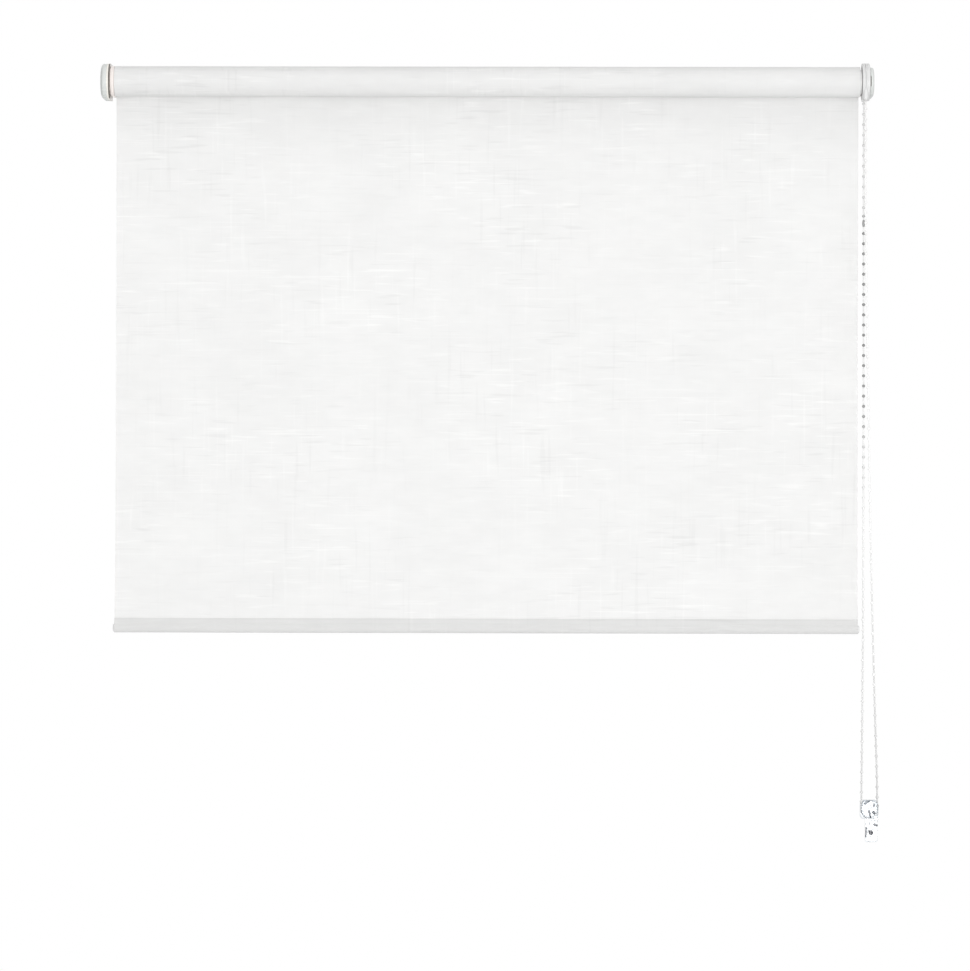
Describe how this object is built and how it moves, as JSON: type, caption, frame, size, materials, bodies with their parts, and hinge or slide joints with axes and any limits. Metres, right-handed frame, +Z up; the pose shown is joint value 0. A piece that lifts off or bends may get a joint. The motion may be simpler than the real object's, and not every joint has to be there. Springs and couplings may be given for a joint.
{
  "type": "roller blind",
  "caption": "Standard-roll roller blind with sheer cloth, hem bar, spring-brake chain drive, wall brackets with covers, bead chain and a clear wall clip",
  "frame": {"origin": "on the wall plane, midway along the cloth's width, level with the roller's axis", "axes": "+X along the roller towards the chain, +Y into the wall, +Z up"},
  "size_m": [0.9439, 0.0768, 0.9428],
  "materials": {
    "cloth": "white slubbed linen-look sheer cloth",
    "cover_plastic": "off-white moulded cover, satin gloss",
    "ivory_plastic": "warm white moulded plastic",
    "white_plastic": "white moulded acetal, satin",
    "grey_plastic": "dark grey glass-filled nylon",
    "cap_plastic": "off-white moulded end cap",
    "chain_plastic": "pale grey-white moulded beads on a polyester cord",
    "connector_plastic": "smoky clear moulded joiner",
    "clear_plastic": "clear polycarbonate",
    "zinc_steel": "zinc-plated sheet steel",
    "screw_steel": "zinc-plated screw steel",
    "spring_steel": "bright spring wire",
    "aluminium": "mill-finish extruded aluminium"
  },
  "bodies": {
    "frame": {"idle_bracket": "zinc_steel", "idle_bracket_cover": "cover_plastic", "idle_bracket_screw_upper": "screw_steel", "idle_bracket_screw_lower": "screw_steel", "idle_bush": "grey_plastic", "clutch_spindle": "white_plastic", "clutch_washer": "screw_steel", "clutch_screw": "screw_steel", "chain_guard_inner": "white_plastic", "chain_guard_outer": "white_plastic", "drive_bracket": "zinc_steel", "drive_bracket_cover": "cover_plastic", "drive_bracket_screw_upper": "screw_steel", "drive_bracket_screw_lower": "screw_steel", "chain_upper_back": "chain_plastic", "chain_main": "chain_plastic", "chain_connector": "connector_plastic", "chain_clip": "clear_plastic", "chain_clip_screw": "screw_steel"},
    "roller": {"roller_tube": "aluminium", "fabric_roll": "cloth", "idle_end_plug": "ivory_plastic", "clutch_crown": "grey_plastic", "wrap_spring_outer": "spring_steel", "wrap_spring_inner": "spring_steel"},
    "hem": {"fabric_drop": "cloth", "hem_pocket": "cloth", "bottom_bar": "aluminium", "bottom_bar_cap_left": "cap_plastic", "bottom_bar_cap_right": "cap_plastic"},
    "wheel": {"chain_wheel": "white_plastic", "chain_on_wheel": "chain_plastic"},
    "pin": {"idle_pin": "screw_steel", "idle_pin_spring": "spring_steel"}
  },
  "joints": [
    {"name": "roller_spin", "type": "hinge", "parent": "frame", "child": "roller", "pos_m": [0, -0.03, 0], "axis": [1, 0, 0], "range_deg": [-3240, 1800]},
    {"name": "hem_travel", "type": "slide", "parent": "frame", "child": "hem", "axis": [0, 0, 1], "range_m": [-1.0462, 0.5812], "deforming": ["fabric_drop"]},
    {"name": "wheel_spin", "type": "hinge", "parent": "frame", "child": "wheel", "pos_m": [0, -0.03, 0], "axis": [1, 0, 0], "range_deg": [-3240, 1800], "deforming": ["chain_on_wheel"]},
    {"name": "pin_slide", "type": "slide", "parent": "frame", "child": "pin", "axis": [1, 0, 0], "range_m": [0, 0.008], "stiffness_N_per_m": 400, "springref_m": -0.006, "deforming": ["idle_pin_spring"]}
  ],
  "couplings": [
    {"joint": "hem_travel", "follows": "roller_spin", "m_per_rad": 0.0185},
    {"joint": "wheel_spin", "follows": "roller_spin", "ratio": 1}
  ]
}
